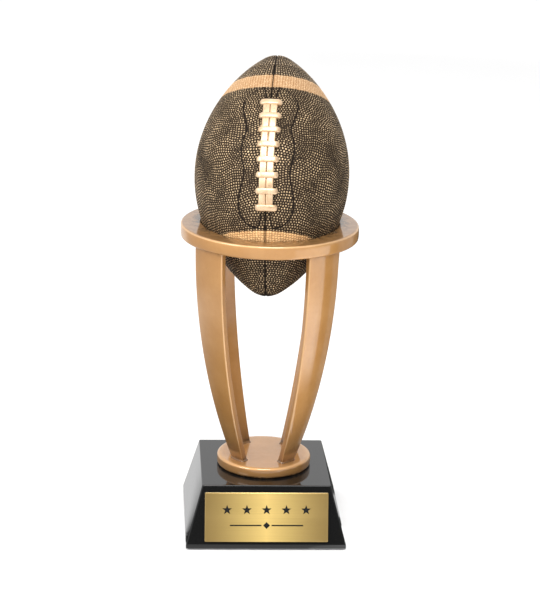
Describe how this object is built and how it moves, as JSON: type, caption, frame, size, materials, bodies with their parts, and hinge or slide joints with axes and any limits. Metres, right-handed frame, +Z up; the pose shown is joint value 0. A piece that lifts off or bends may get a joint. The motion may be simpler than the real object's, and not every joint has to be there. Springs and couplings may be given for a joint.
{
  "type": "football trophy",
  "caption": "Football trophy: a resin ball leaning back in a ring on bowed legs, over a weighted tapered base with a nameplate; the figure turns on its stud.",
  "frame": {"origin": "centre of the felt's underside, on the surface that the trophy stands on", "axes": "+Z up; -Y towards the viewer, where the nameplate faces; the base is square to X and Y"},
  "size_m": [0.1122, 0.1208, 0.2993],
  "materials": {
    "antique_gold": "satin antique gold paint on cast resin",
    "antique_ball": "black-brown antiqued cast resin, pebbled, with gold dry brushing and two gold stripes",
    "black_gloss": "polished black",
    "ballast": "cast plaster, hidden",
    "felt": "black adhesive felt",
    "plate_gold": "brushed along its length, gold",
    "plate_core": "black engraving core",
    "tape": "thin double-sided foam tape",
    "zinc_steel": "zinc plated"
  },
  "bodies": {
    "base": {"base_shell": "black_gloss", "base_weight": "ballast", "felt_pad": "felt", "nameplate_tape": "tape", "nameplate_core": "plate_core", "nameplate_face": "plate_gold"},
    "figure": {"foot_disc": "antique_gold", "leg_front_left": "antique_gold", "leg_front_right": "antique_gold", "leg_rear_left": "antique_gold", "leg_rear_right": "antique_gold", "seat_ring": "antique_gold", "ball_left_half": "antique_ball", "ball_right_half": "antique_ball", "lace_strand_left": "antique_gold", "lace_strand_right": "antique_gold", "lace_bar_1": "antique_gold", "lace_bar_2": "antique_gold", "lace_bar_3": "antique_gold", "lace_bar_4": "antique_gold", "lace_bar_5": "antique_gold", "lace_bar_6": "antique_gold", "lace_bar_7": "antique_gold", "lace_bar_8": "antique_gold", "threaded_rod": "zinc_steel", "washer": "zinc_steel", "hex_nut": "zinc_steel"}
  },
  "joints": [
    {"name": "figure_turn", "type": "hinge", "parent": "base", "child": "figure", "pos_m": [0, 0, 0.0401], "axis": [0, 0, 1], "continuous": true}
  ]
}
